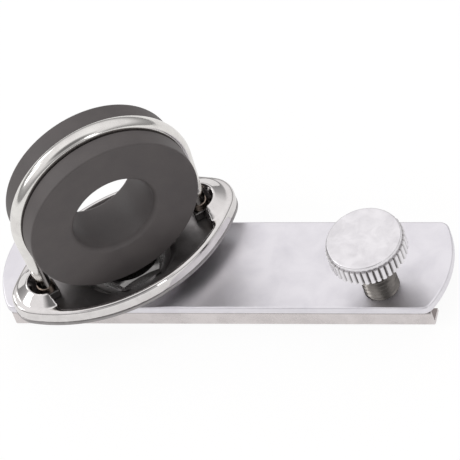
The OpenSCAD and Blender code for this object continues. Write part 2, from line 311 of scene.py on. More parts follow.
class Pen:
    """Draws an outline or a lathe profile as a chain of extruded edges"""

    def __init__(self, name, start):
        deselect()
        self.here = Vector(start)
        bpy.ops.mesh.primitive_plane_add(size=MM, location=self.here)
        bpy.ops.object.transform_apply(location=True)
        self.piece = bpy.context.object
        self.piece.name = self.piece.data.name = name
        bpy.ops.object.mode_set(mode="EDIT")
        bpy.ops.mesh.select_mode(type="VERT")
        bpy.ops.mesh.merge(type="CENTER")

    def line(self, to):
        """Draws a straight edge to a point"""
        to = Vector(to)
        extrude(to - self.here)
        self.here = to

    def arc(self, centre, degrees, axis, steps):
        """Draws an arc round a centre, by the right-hand rule about the axis"""
        centre = Vector(centre)
        turn = math.radians(degrees)
        bpy.ops.mesh.spin(steps=steps, angle=-turn, center=centre, axis=axis)
        self.here = centre + Matrix.Rotation(turn, 3, Vector(axis)) @ (self.here - centre)

    def close(self):
        """Welds the chain's ends"""
        bpy.ops.mesh.select_all(action="SELECT")
        bpy.ops.mesh.remove_doubles(threshold=WELD)

    def raise_solid(self, height):
        """Fills the closed outline and extrudes it up"""
        self.close()
        bpy.ops.mesh.edge_face_add()
        extrude((0, 0, height))
        face_out()
        return self.piece

    def turn_solid(self, steps):
        """Spins the profile once round the Z axis"""
        self.close()
        bpy.ops.mesh.spin(steps=steps, angle=math.tau, center=(0, 0, 0), axis=(0, 0, 1))
        bpy.ops.mesh.select_all(action="SELECT")
        bpy.ops.mesh.remove_doubles(threshold=WELD)
        face_out()
        return self.piece


def turned(name, start, path, steps=128):
    """A lathe piece. The path has (r, z) for a line and (r, z, degrees, steps) for an arc round (r, z)"""
    pen = Pen(name, (start[0], 0, start[1]))
    for part in path:
        if len(part) == 2:
            pen.line((part[0], 0, part[1]))
        else:
            pen.arc((part[0], 0, part[1]), part[2], (0, -1, 0), part[3])
    return pen.turn_solid(steps)


def bolt_holes(context, piece, low, high):
    """Cuts the clamp screw's and the pivot bolt's holes between two heights"""
    screw_hole = context.scene.lead_car_screw.thread / 2 + SCREW_CLEARANCE
    for axis, radius in ((SCREW_AXIS, screw_hole), (SWIVEL_AXIS, PIVOT_HOLE)):
        combine(piece, rod(radius, low, high, axis.xy), "DIFFERENCE")


def finish_piece(piece, body, node, material):
    """Gives a piece its finish, hangs it on the empty of what it rides on, and hides the CAD node that it
    stands for
    """
    piece.data.materials.clear()
    piece.data.materials.append(material)
    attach(piece, body)
    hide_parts(node)


def side_radius(half_length, half_width, tip):
    """Radius of the long sides of an oval with round tips"""
    return ((half_length - tip) ** 2 + half_width ** 2 - tip ** 2) / (2 * (half_width - tip))


def oval_solid(name, sizes, inset, low, high):
    """Solid oval, shrunk all round by the inset"""
    tip = sizes.tip_radius - inset
    side = side_radius(sizes.half_length, sizes.half_width, sizes.tip_radius) - inset
    centre_y = side - (sizes.half_width - inset)
    tip_x = sizes.half_length - sizes.tip_radius
    reach = math.degrees(math.atan2(tip_x, centre_y))
    start = (-side * math.sin(math.radians(reach)), centre_y - side * math.cos(math.radians(reach)), low)
    pen = Pen(name, start)
    pen.arc((0, centre_y, low), 2 * reach, (0, 0, 1), 72)
    pen.arc((tip_x, 0, low), 180 - 2 * reach, (0, 0, 1), 28)
    pen.arc((0, -centre_y, low), 2 * reach, (0, 0, 1), 72)
    pen.arc((-tip_x, 0, low), 180 - 2 * reach, (0, 0, 1), 28)
    return pen.raise_solid(high - low)


# ---------------------------------------------------------------------------------------------
# Materials
# ---------------------------------------------------------------------------------------------

def link(tree, start, end):
    """Joins two sockets, each given as (node, name or number)"""
    tree.links.new(start[0].outputs[start[1]], end[0].inputs[end[1]])


def wire(tree, *joins):
    """Joins several pairs of sockets, each given as (node, socket, node, socket)"""
    for start, output, end, socket in joins:
        link(tree, (start, output), (end, socket))


def add_node(tree, kind, values=None, **settings):
    """A shader node with its settings and its unlinked values"""
    made = tree.nodes.new("ShaderNode" + kind)
    for name, value in settings.items():
        setattr(made, name, value)
    for name, value in (values or {}).items():
        made.inputs[name].default_value = value
    return made


def new_group(name, inputs, outputs):
    """An empty shader node group. Inputs are (name, socket, default) and outputs (name, socket)"""
    group = bpy.data.node_groups.new(name, "ShaderNodeTree")
    for label, kind, default in inputs:
        socket = group.interface.new_socket(label, in_out="INPUT", socket_type="NodeSocket" + kind)
        if default is not None:
            socket.default_value = default
    for label, kind in outputs:
        group.interface.new_socket(label, in_out="OUTPUT", socket_type="NodeSocket" + kind)
    return group, group.nodes.new("NodeGroupInput"), group.nodes.new("NodeGroupOutput")


def brushed_grain():
    """Fine lines along X, and their height"""
    group, given, out = new_group(
        "brushed_grain",
        [("Vector", "Vector", None), ("Fineness", "Float", 9000.0), ("Stretch", "Vector", (0.02, 1, 1))],
        [("Height", "Float")])
    stretch = add_node(group, "VectorMath", operation="MULTIPLY")
    lines = add_node(group, "TexNoise", {"Detail": 3.0, "Roughness": 0.65})
    wire(group, (given, "Vector", stretch, 0), (given, "Stretch", stretch, 1),
                (stretch, 0, lines, "Vector"), (given, "Fineness", lines, "Scale"),
                (lines, 0, out, "Height"))
    return group


def handling_marks():
    """Soft smudges and a few hairline scratches left by handling"""
    group, given, out = new_group(
        "handling_marks",
        [("Vector", "Vector", None), ("Smudge Scale", "Float", 120.0), ("Scratch Scale", "Float", 2600.0)],
        [("Smudges", "Float"), ("Scratches", "Float")])
    cloud = add_node(group, "TexNoise", {"Detail": 4.0, "Roughness": 0.6, "Distortion": 0.4})
    spread = add_node(group, "MapRange", {"From Min": 0.38, "From Max": 0.68})
    slant = add_node(group, "VectorRotate", {"Angle": math.radians(14)}, rotation_type="Z_AXIS")
    stretch = add_node(group, "VectorMath", {1: (0.035, 1, 1)}, operation="MULTIPLY")
    hairs = add_node(group, "TexNoise", {"Detail": 1.0})
    thin = add_node(group, "MapRange", {"From Min": 0.66, "From Max": 0.72})
    some = add_node(group, "MapRange", {"From Min": 0.45, "From Max": 0.62})
    scratch = add_node(group, "Math", operation="MULTIPLY")
    wire(group, (given, "Vector", cloud, "Vector"), (given, "Smudge Scale", cloud, "Scale"),
                (cloud, 0, spread, "Value"), (spread, 0, out, "Smudges"),
                (given, "Vector", slant, "Vector"), (slant, 0, stretch, 0),
                (stretch, 0, hairs, "Vector"), (given, "Scratch Scale", hairs, "Scale"),
                (hairs, 0, thin, "Value"), (cloud, 0, some, "Value"), (thin, 0, scratch, 0),
                (some, 0, scratch, 1), (scratch, 0, out, "Scratches"))
    return group


def turning_lines():
    """Fine rings left by a lathe tool round the Z axis of the vector that it is given"""
    group, given, out = new_group(
        "turning_lines",
        [("Vector", "Vector", None), ("Rings", "Float", 2600.0)],
        [("Height", "Float")])
    split = add_node(group, "SeparateXYZ")
    flat = add_node(group, "CombineXYZ")
    radius = add_node(group, "VectorMath", operation="LENGTH")
    scaled = add_node(group, "Math", operation="MULTIPLY")
    place = add_node(group, "CombineXYZ")
    depth = add_node(group, "Math", operation="MULTIPLY")
    ring = add_node(group, "TexNoise", {"Scale": 1.0, "Detail": 2.0, "Roughness": 0.7})
    wire(group, (given, "Vector", split, 0), (split, 0, flat, 0), (split, 1, flat, 1),
                (flat, 0, radius, 0), (radius, "Value", scaled, 0), (given, "Rings", scaled, 1),
                (split, 2, depth, 0), (given, "Rings", depth, 1), (scaled, 0, place, 0),
                (depth, 0, place, 2), (place, 0, ring, "Vector"), (ring, 0, out, "Height"))
    return group


GROUPS = {}


def use_group(tree, maker, place, values=None):
    """Places a shared group in a material, on these coordinates, and builds it the first time"""
    if maker.__name__ not in GROUPS:
        GROUPS[maker.__name__] = maker()
    group = add_node(tree, "Group", values, node_tree=GROUPS[maker.__name__])
    link(tree, (place, 0), (group, "Vector"))
    return group


def noise_on(tree, place, scale, detail):
    """Noise on these coordinates"""
    noise = add_node(tree, "TexNoise", {"Scale": scale, "Detail": detail})
    link(tree, (place, 0), (noise, "Vector"))
    return noise


def start_material(name, metallic, centre=None, turn=(0, 0, 0)):
    """A material with its shader and with Object coordinates, centred and turned for one piece"""
    material = bpy.data.materials.new(name)
    material.use_nodes = True
    tree = material.node_tree
    shader = tree.nodes["Principled BSDF"]
    shader.inputs["Metallic"].default_value = metallic
    place = add_node(tree, "TexCoord")
    mapping = add_node(tree, "Mapping", vector_type="TEXTURE")
    mapping.inputs["Location"].default_value = centre or (0, 0, 0)
    mapping.inputs["Rotation"].default_value = turn
    link(tree, (place, "Object"), (mapping, "Vector"))
    return material, tree, shader, mapping


def tint_by(tree, shader, factor, first, second):
    """Colours the shader with two fixed colours that a mask mixes"""
    mix = add_node(tree, "Mix", {6: (*first, 1), 7: (*second, 1)}, data_type="RGBA")
    link(tree, factor, (mix, 0))
    link(tree, (mix, 2), (shader, "Base Color"))


def range_of(tree, factor, low, high):
    """Spreads a mask over a range of values"""
    spread = add_node(tree, "MapRange", {"To Min": low, "To Max": high})
    link(tree, factor, (spread, "Value"))
    return spread


def roughen_by(tree, shader, factor, low, high):
    """Spreads a mask over a range of roughness"""
    link(tree, (range_of(tree, factor, low, high), 0), (shader, "Roughness"))


def bump_from(tree, shader, height, strength, distance):
    """Feeds a height to the shader as a small bump"""
    bump = add_node(tree, "Bump", {"Strength": strength, "Distance": distance})
    link(tree, height, (bump, "Height"))
    link(tree, (bump, 0), (shader, "Normal"))


def smudged_steel(name, light, dark, rough, smudge_scale, scratch_depth):
    """Steel whose colour and roughness follow smudges and scratches. Gives the marks node too"""
    material, tree, shader, place = start_material(name, 1.0)
    marks = use_group(tree, handling_marks, place, {"Smudge Scale": smudge_scale})
    tint_by(tree, shader, (marks, "Smudges"), light, dark)
    spread = range_of(tree, (marks, "Smudges"), *rough)
    scratched = add_node(tree, "Math", {1: scratch_depth}, operation="MULTIPLY_ADD")
    wire(tree, (marks, "Scratches", scratched, 0), (spread, 0, scratched, 2),
         (scratched, 0, shader, "Roughness"))
    return material, tree, shader, place, marks


def satin_steel(name, light, dark, rough):
    """Rolled and brushed stainless sheet with faint smudges"""
    material, tree, shader, place, _ = smudged_steel(name, light, dark, rough, 120.0, 0.04)
    grain = use_group(tree, brushed_grain, place)
    bump_from(tree, shader, (grain, "Height"), 0.14, 0.006 * MM)
    return material


def parts_of(material):
    """The tree, shader, tint and coordinates of a finished material, to lay something over it"""
    tree = material.node_tree
    shader = tree.nodes["Principled BSDF"]
    tint = shader.inputs["Base Color"].links[0].from_node
    place = next(node for node in tree.nodes if node.type == "MAPPING")
    return tree, shader, tint, place


def paint_shade_under_plate(material, joint_z):
    """Painted shade: a dark band just under the joint at this height, standing in for the shade under the
    plate's edge
    """
    tree, shader, tint, place = parts_of(material)
    split = add_node(tree, "SeparateXYZ")
    near = add_node(tree, "MapRange", {"From Min": joint_z - 1.5 * MM, "From Max": joint_z - 0.7 * MM})
    # dark colour of the painted shade under the plate
    mix = add_node(tree, "Mix", {7: (0.09, 0.08, 0.08, 1)}, data_type="RGBA")
    wire(tree, (place, 0, split, 0), (split, 2, near, "Value"), (near, 0, mix, 0), (tint, 2, mix, 6),
               (mix, 2, shader, "Base Color"))


def polished_steel(name, light, dark, rough):
    """Mirror-polished stainless with a trace of buffing haze"""
    material, tree, shader, _, marks = smudged_steel(name, light, dark, rough, 260.0, 0.03)
    bump_from(tree, shader, (marks, "Smudges"), 0.06, 0.02 * MM)
    return material


def turned_metal(name, light, dark, rough, centre, rings=2600.0):
    """Turned metal with lathe rings round one axis and soft smudges"""
    material, tree, shader, place = start_material(name, 1.0, centre)
    lathe = use_group(tree, turning_lines, place, {"Rings": rings})
    marks = use_group(tree, handling_marks, place, {"Smudge Scale": 220.0})
    tint_by(tree, shader, (marks, "Smudges"), light, dark)
    roughen_by(tree, shader, (marks, "Smudges"), *rough)
    bump_from(tree, shader, (lathe, "Height"), 0.2, 0.008 * MM)
    return material


def knurled_steel(name, light, dark, rough, root, crest, band):
    """Turned steel with painted shade down in the knurl's grooves: dark below the lands, left bright on the
    lands and over the knurl
    """
    material = turned_metal(name, light, dark, rough, SCREW_LINE)
    tree, shader, tint, place = parts_of(material)
    split = add_node(tree, "SeparateXYZ")
    flat = add_node(tree, "CombineXYZ")
    radius = add_node(tree, "VectorMath", operation="LENGTH")
    on_land = add_node(tree, "MapRange", {"From Min": root, "From Max": crest})
    over_knurl = add_node(tree, "MapRange", {"From Min": band - 0.02 * MM, "From Max": band + 0.02 * MM})
    unshaded = add_node(tree, "Math", operation="MAXIMUM")
    # dark colour of the painted shade in the knurl's grooves
    mix = add_node(tree, "Mix", {6: (0.16, 0.15, 0.14, 1)}, data_type="RGBA")
    wire(tree, (place, 0, split, 0), (split, 0, flat, 0), (split, 1, flat, 1), (flat, 0, radius, 0),
               (radius, "Value", on_land, "Value"), (split, 2, over_knurl, "Value"),
               (on_land, 0, unshaded, 0), (over_knurl, 0, unshaded, 1), (unshaded, 0, mix, 0), (tint, 2, mix, 7),
               (mix, 2, shader, "Base Color"))
    return material


def black_composite(name, light, dark):
    """Black bearing composite, turned and left matt, with a fine speckle"""
    material, tree, shader, place = start_material(name, 0.0, EYE_CENTRE, (math.pi / 2, 0, YAW))
    lathe = use_group(tree, turning_lines, place, {"Rings": 3200.0})
    speckle = noise_on(tree, place, 4200.0, 2.0)
    cloud = noise_on(tree, place, 140.0, 3.0)
    both = add_node(tree, "Math", {1: 0.5}, operation="MULTIPLY_ADD")
    height = add_node(tree, "Math", {1: 0.35}, operation="MULTIPLY_ADD")
    wire(tree, (speckle, 0, both, 0), (cloud, 0, both, 2),
         (speckle, 0, height, 0), (lathe, "Height", height, 2))
    tint_by(tree, shader, (both, 0), dark, light)
    roughen_by(tree, shader, (cloud, 0), 0.42, 0.62)
    bump_from(tree, shader, (height, 0), 0.4, 0.02 * MM)
    shader.inputs["Specular IOR Level"].default_value = 0.45
    return material


def moulded_plastic(name, light, dark):
    """Pale moulded plastic with a fine matt grain"""
    material, tree, shader, place = start_material(name, 0.0)
    grain = noise_on(tree, place, 2500.0, 3.0)
    cloud = noise_on(tree, place, 160.0, 3.0)
    tint_by(tree, shader, (cloud, 0), light, dark)
    roughen_by(tree, shader, (grain, 0), 0.42, 0.62)
    bump_from(tree, shader, (grain, 0), 0.2, 0.01 * MM)
    return material


# ---------------------------------------------------------------------------------------------
# Pieces
# ---------------------------------------------------------------------------------------------

class LEADCAR_OT_stage(bpy.types.Operator):
    """Camera, soft lights, pale floor and the surroundings that the metal mirrors"""

    bl_idname = "lead_car.stage"
    bl_label = "Stage"

    def execute(self, context):
        stage = context.scene.lead_car_stage
        azimuth, elevation, roll = stage.azimuth, stage.elevation, stage.roll
        back = Vector((math.sin(azimuth) * math.cos(elevation),
                       -math.cos(azimuth) * math.cos(elevation), math.sin(elevation)))
        level = Vector((math.cos(azimuth), math.sin(azimuth), 0))
        right = level * math.cos(roll) - back.cross(level) * math.sin(roll)
        up = back.cross(right)
        aim = Vector((0, 0, PLATE_HIGH.z)) + right * stage.shift_right + up * stage.shift_up
        deselect()
        bpy.ops.object.camera_add()
        camera = context.object
        camera.name = "camera"
        camera.data.lens = stage.lens
        distance = stage.view_width * stage.lens / camera.data.sensor_width
        look = Matrix((right, up, back)).transposed().to_4x4()
        camera.matrix_world = Matrix.Translation(aim + back * distance) @ look
        camera.data.clip_start = 0.01
        context.scene.camera = camera
        context.scene.view_settings.view_transform = "Standard"

        self.make_floor(stage)
        self.make_surroundings(context, back)
        middle = (cad_box[0] + cad_box[1]) / 2
        self.make_light("rear_softbox", middle + Vector((-0.95, 0.35, 0.55)), middle, 0.3, 0.4, 0.8)
        self.make_light("left_softbox", middle + Vector((-0.85, -0.2, 0.5)), middle, 0.3, 0.4, 1.2)
        self.make_light("right_strip", middle + Vector((0.7, -0.6, 0.3)), middle, 0.1, 0.5, 0.35)
        return {"FINISHED"}

    def make_floor(self, stage):
        """A wide floor that shows as plain white, and nearly so where the metal mirrors it"""
        deselect()
        bpy.ops.mesh.primitive_plane_add(size=12, location=(0, 0, cad_box[0].z - 0.02 * MM))
        bpy.ops.object.transform_apply(location=True)
        ground = bpy.context.object
        ground.name = "floor"
        material = bpy.data.materials.new("pale_floor")
        material.use_nodes = True
        tree = material.node_tree
        matt = tree.nodes["Principled BSDF"]
        matt.inputs["Base Color"].default_value = (*stage.floor_colour, 1)
        matt.inputs["Roughness"].default_value = 0.9
        glow = add_node(tree, "Emission", {"Color": (1, 1, 1, 1), "Strength": 1.05})
        ray = add_node(tree, "LightPath")
        seen = add_node(tree, "Math", {1: 0.88}, operation="MULTIPLY")
        share = add_node(tree, "Math", {1: 0.55}, operation="MULTIPLY_ADD")
        mix = add_node(tree, "MixShader")
        link(tree, (ray, "Is Camera Ray"), (seen, 0))
        link(tree, (ray, "Is Glossy Ray"), (share, 0))
        link(tree, (seen, 0), (share, 2))
        link(tree, (share, 0), (mix, 0))
        link(tree, (matt, 0), (mix, 1))
        link(tree, (glow, 0), (mix, 2))
        link(tree, (mix, 0), (tree.nodes["Material Output"], 0))
        ground.data.materials.append(material)

    def make_surroundings(self, context, front):
        """A studio dome: grey low down, white overhead, with a dark opening in front of the car"""
        world = bpy.data.worlds.new("studio")
        context.scene.world = world
        world.use_nodes = True
        tree = world.node_tree
        background = tree.nodes["Background"]
        place = add_node(tree, "TexCoord")
        split = add_node(tree, "SeparateXYZ")
        ramp = add_node(tree, "ValToRGB")
        stops = ((0.0, 0.26), (0.25, 0.42), (0.5, 0.86), (1.0, 1.0))
        ramp.color_ramp.elements.new(stops[1][0])
        ramp.color_ramp.elements.new(stops[2][0])
        for element, (height, level) in zip(ramp.color_ramp.elements, stops):
            element.position = height
            element.color = (level, level * 0.985, level * 0.99, 1)
        facing = add_node(tree, "VectorMath", {1: front}, operation="DOT_PRODUCT")
        opening = range_of(tree, (facing, "Value"), 1.0, 0.2)
        opening.inputs["From Min"].default_value = 0.87
        opening.inputs["From Max"].default_value = 0.97
        dimmed = add_node(tree, "Mix", {0: 1.0}, data_type="RGBA", blend_type="MULTIPLY")
        ray = add_node(tree, "LightPath")
        white = add_node(tree, "Mix", {7: (1, 1, 1, 1)}, data_type="RGBA")
        wire(tree, (place, "Generated", facing, 0),
                   (ramp, 0, dimmed, 6), (opening, 0, dimmed, 7), (place, "Generated", split, 0),
                   (split, 2, ramp, 0), (ray, "Is Camera Ray", white, 0), (dimmed, 2, white, 6),
                   (white, 2, background, "Color"))

    def make_light(self, name, place, aim, width, height, power):
        """A rectangular softbox that faces the car"""
        deselect()
        bpy.ops.object.light_add(type="AREA", location=place)
        light = bpy.context.object
        light.name = name
        light.data.shape = "RECTANGLE"
        light.data.size = width
        light.data.size_y = height
        light.data.energy = power
        light.rotation_euler = (aim - place).to_track_quat("-Z", "Y").to_euler()


class LEADCAR_OT_track_channel(bpy.types.Operator):
    """Sheet folded round the head of the track, with rounded folds"""

    bl_idname = "lead_car.track_channel"
    bl_label = "Track Channel"

    def execute(self, context):
        sizes = context.scene.lead_car_car
        low, high, fold = CHANNEL_LOW, CHANNEL_HIGH, sizes.fold_radius
        pen = Pen("folded_channel", (low.x, -sizes.lip_gap / 2, low.z))
        corners = ((low.y, low.z, 1, 1), (low.y, high.z, 1, -1),
                   (high.y, high.z, -1, -1), (high.y, low.z, -1, 1))
        for turn, (y, z, inward, up) in enumerate(corners):
            first_leg = turn % 2 == 0
            start = (low.x, y + inward * fold * first_leg, z + up * fold * (not first_leg))
            pen.line(start)
            pen.arc((low.x, y + inward * fold, z + up * fold), -90, (1, 0, 0), 8)
        pen.line((low.x, sizes.lip_gap / 2, low.z))
        bpy.ops.mesh.select_all(action="SELECT")
        bpy.ops.mesh.remove_doubles(threshold=WELD)
        extrude((high.x - low.x, 0, 0))
        face_out()
        channel = pen.piece
        outward = max(channel.data.polygons, key=lambda face: face.center.z).normal.z > 0
        apply_modifier(channel, "SOLIDIFY", thickness=sizes.sheet, offset=-1 if outward else 1,
                       use_even_offset=True)
        bolt_holes(context, channel, high.z - 2 * sizes.sheet, high.z + sizes.sheet)
        apply_modifier(channel, "BEVEL", width=0.12 * MM, segments=2, limit_method="ANGLE",
                       angle_limit=math.radians(50), harden_normals=False)
        soften(channel, 35)
        steel = satin_steel("channel_steel", (0.8, 0.755, 0.75), (0.68, 0.64, 0.635), (0.2, 0.32))
        # the channel's top is painted darker, for the shade under the plate
        paint_shade_under_plate(steel, high.z)
        finish_piece(channel, "car", "track_channel", steel)
        return {"FINISHED"}


class LEADCAR_OT_top_plate(bpy.types.Operator):
    """Flat top plate with round ends and polished edges"""

    bl_idname = "lead_car.top_plate"
    bl_label = "Top Plate"

    def execute(self, context):
        sizes = context.scene.lead_car_car
        low, high = PLATE_LOW, PLATE_HIGH
        end, corner = sizes.end_radius, sizes.corner_radius
        end_x = high.x - end
        corner_y = high.y - corner
        half_turn = math.degrees(math.asin(corner_y / (end - corner)))
        corner_x = end_x + (end - corner) * math.cos(math.radians(half_turn))
        pen = Pen("flat_top_plate", (-corner_x, low.y, low.z))
        for side in (1, -1):
            pen.line((side * corner_x, side * low.y, low.z))
            pen.arc((side * corner_x, -side * corner_y, low.z), 90 - half_turn, (0, 0, 1), 12)
            pen.arc((side * end_x, 0, low.z), 2 * half_turn, (0, 0, 1), 48)
            pen.arc((side * corner_x, side * corner_y, low.z), 90 - half_turn, (0, 0, 1), 12)
        plate = pen.raise_solid(high.z - low.z)
        edit(plate, "EDGE")
        pick_edges(plate, lambda a, b: abs(a.z - b.z) < SAME_HEIGHT and min(a.z, b.z) > high.z - SAME_HEIGHT)
        bpy.ops.mesh.bevel(offset=sizes.edge_round, segments=5, affect="EDGES")
        bpy.ops.mesh.select_all(action="DESELECT")
        pick_edges(plate, lambda a, b: max(a.z, b.z) < low.z + SAME_HEIGHT)
        bpy.ops.mesh.bevel(offset=sizes.edge_round / 2, segments=3, affect="EDGES")
        deselect()
        bolt_holes(context, plate, low.z - SPILL, high.z + SPILL)
        soften(plate, 35)
        finish_piece(plate, "car", "top_plate",
                     satin_steel("plate_steel", (0.89, 0.875, 0.915), (0.83, 0.815, 0.86), (0.35, 0.43)))
        return {"FINISHED"}


class LEADCAR_OT_sole_plate(bpy.types.Operator):
    """Pressed sole plate: an oval flange with a round dish in the middle"""

    bl_idname = "lead_car.sole_plate"
    bl_label = "Sole Plate"

    def execute(self, context):
        sizes = context.scene.lead_car_base
        eye = context.scene.lead_car_eye
        top = SOLE_HIGH.z
        low = top - sizes.sole
        dish_low = BUSH_LOW.z
        dish_high = BUSH_HIGH.z
        sole = oval_solid("pressed_sole_plate", sizes, 0, low, top)
        edit(sole, "EDGE")
        pick_edges(sole, lambda a, b: abs(a.z - b.z) < SAME_HEIGHT)
        bpy.ops.mesh.bevel(offset=0.3 * MM, segments=3, affect="EDGES")
        deselect()
        wide = sizes.dish_radius + sizes.dish_flare
        combine(sole, rod(sizes.dish_radius, dish_low, low + 0.3 * MM, sides=96,
                          top_radius=wide * 1.01), "UNION")
        slope = rod(sizes.dish_radius - 0.4 * MM, dish_high, top + 0.6 * MM, sides=96,
                    top_radius=wide - 0.2 * MM)
        combine(sole, slope, "DIFFERENCE")
        combine(sole, rod(BUSH_HOLE, dish_low - SPILL, dish_high + SPILL), "DIFFERENCE")
        for side in (-1, 1):
            hole = rod(eye.wire / 2 + 0.1 * MM, low - SPILL, top + SPILL, (side * leg_place(eye, low), 0))
            combine(sole, hole, "DIFFERENCE")
        put(sole, ON_SWIVEL)
        soften(sole, 35)
        # the sole plate's steel is coloured dark: painted shade for the shade down in the well
        finish_piece(sole, "swivel", "sole_plate",
                     polished_steel("shaded_sole_steel", (0.38, 0.365, 0.365), (0.3, 0.288, 0.288), (0.28, 0.38)))
        return {"FINISHED"}


def eye_rim():
    """Outside radius of the bull's-eye"""
    return (EYE_HIGH.z - EYE_LOW.z) / 2


def leg_place(eye, height):
    """Distance of a leg of the hoop from the middle at a height"""
    reach = (eye_rim() + WIRE_SEAT) / math.cos(eye.leg_lean)
    return reach - (EYE_CENTRE.z - height) * math.tan(eye.leg_lean)


def eye_thickness():
    """Thickness of the bull's-eye, from its box and its angle"""
    span = EYE_HIGH.x - EYE_LOW.x
    return (span - 2 * eye_rim() * math.cos(YAW)) / math.sin(YAW)


class LEADCAR_OT_base_rim(bpy.types.Operator):
    """Cast and polished rim: a rounded wall, and a pad that rises round each leg"""

    bl_idname = "lead_car.base_rim"
    bl_label = "Base Rim"

    def execute(self, context):
        sizes = context.scene.lead_car_base
        low = SOLE_HIGH.z
        top = RIM_HIGH.z - sizes.pad_rise
        rim = oval_solid("polished_rim", sizes, 0, low, top)
        edit(rim, "EDGE")
        pick_edges(rim, lambda a, b: min(a.z, b.z) > top - SAME_HEIGHT)
        bpy.ops.mesh.bevel(offset=sizes.edge_round, segments=6, affect="EDGES")
        deselect()
        for side in (-1, 1):
            foot = sizes.rise_radius + sizes.rise_slope * (sizes.pad_rise + MM)
            rise = rod(foot, top - MM, top + sizes.pad_rise, (side * sizes.notch_place, 0), 96,
                       sizes.rise_radius)
            limit = oval_solid("limit", sizes, sizes.edge_round, top - 2 * MM, top + sizes.pad_rise + MM)
            combine(rise, limit, "INTERSECT")
            combine(rim, rise, "UNION")
        combine(rim, self.well(sizes, low - MM, top + sizes.pad_rise + MM), "DIFFERENCE")
        flare = self.well(sizes, top - sizes.flare_depth, top + sizes.pad_rise)
        edit(flare)
        pick_faces(flare, lambda centre, normal: normal.z > 0.9)
        long_way = 1 + sizes.flare_end / sizes.well_half_length
        wide_way = 1 + sizes.flare_side / (sizes.half_width - sizes.wall)
        bpy.ops.transform.resize(value=(long_way, wide_way, 1), center_override=(0, 0, 0))
        extrude((0, 0, SPILL))
        deselect()
        combine(rim, flare, "DIFFERENCE")
        for side in (-1, 1):
            notch = rod(sizes.notch_radius, low - MM, top + sizes.pad_rise + MM,
                        (side * sizes.notch_place, 0), 96)
            combine(rim, notch, "DIFFERENCE")
            bevel = rod(sizes.notch_radius, top + MM, top + sizes.pad_rise + 0.1 * MM,
                        (side * sizes.notch_place, 0), 96, sizes.rise_radius - sizes.crest_width)
            combine(rim, bevel, "DIFFERENCE")
        apply_modifier(rim, "REMESH", mode="VOXEL", voxel_size=0.27 * MM, use_smooth_shade=True)
        apply_modifier(rim, "SMOOTH", factor=0.5, iterations=12)
        put(rim, ON_SWIVEL)
        choose(rim)
        bpy.ops.object.shade_smooth()
        finish_piece(rim, "swivel", "base_rim",
                     polished_steel("rim_steel", (0.8, 0.78, 0.77), (0.72, 0.7, 0.69), (0.05, 0.11)))
        return {"FINISHED"}

    def well(self, sizes, low, high):
        """Solid of the well: two long arcs cut off straight at the end pads"""
        side = side_radius(sizes.half_length, sizes.half_width, sizes.tip_radius)
        inner = side - sizes.wall
        centre_y = side - sizes.half_width
        end = sizes.well_half_length
        reach = math.degrees(math.asin(end / inner))
        end_y = centre_y - math.sqrt(inner ** 2 - end ** 2)
        pen = Pen("well", (-end, end_y, low))
        pen.arc((0, centre_y, low), 2 * reach, (0, 0, 1), 72)
        pen.line((end, -end_y, low))
        pen.arc((0, -centre_y, low), 2 * reach, (0, 0, 1), 72)
        pen.line((-end, end_y, low))
        return pen.raise_solid(high - low)


class LEADCAR_OT_wire_hoop(bpy.types.Operator):
    """Hoop of round wire, bent over the bull's-eye and down into the sole plate"""

    bl_idname = "lead_car.wire_hoop"
    bl_label = "Wire Hoop"

    def execute(self, context):
        eye = context.scene.lead_car_eye
        reach = eye_rim() + WIRE_SEAT
        lean = eye.leg_lean
        foot = context.scene.lead_car_base.sole
        drop = EYE_CENTRE.z - (SOLE_HIGH.z - foot)
        leg = (drop - reach * math.sin(lean)) / math.cos(lean)
        deselect()
        bpy.ops.mesh.primitive_circle_add(vertices=40, radius=eye.wire / 2, fill_type="NGON",
                                          location=(reach, 0, -leg))
        bpy.ops.object.transform_apply(location=True)
        hoop = context.object
        hoop.name = "wire_hoop_bent"
        bend = math.pi + 2 * lean
        bpy.ops.object.mode_set(mode="EDIT")
        extrude((0, 0, leg))
        bpy.ops.mesh.spin(steps=120, angle=bend, center=(0, 0, 0), axis=(0, 1, 0))
        along = Matrix.Rotation(-bend, 3, "Y") @ Vector((0, 0, leg))
        extrude(along)
        face_out()
        edit(hoop, "VERT")
        pick_points(hoop, lambda place: math.hypot(place.x, place.z) < reach + eye.wire)
        bpy.ops.transform.resize(value=(1, eye.wire_flat, 1), center_override=(0, 0, 0))
        deselect()
        put(hoop, ON_EYE @ Matrix.Rotation(lean, 4, "Y"))
        soften(hoop, 35, False)
        finish_piece(hoop, "swivel", "wire_hoop",
                     polished_steel("wire_steel", (0.84, 0.83, 0.8), (0.76, 0.74, 0.72), (0.1, 0.2)))
        return {"FINISHED"}


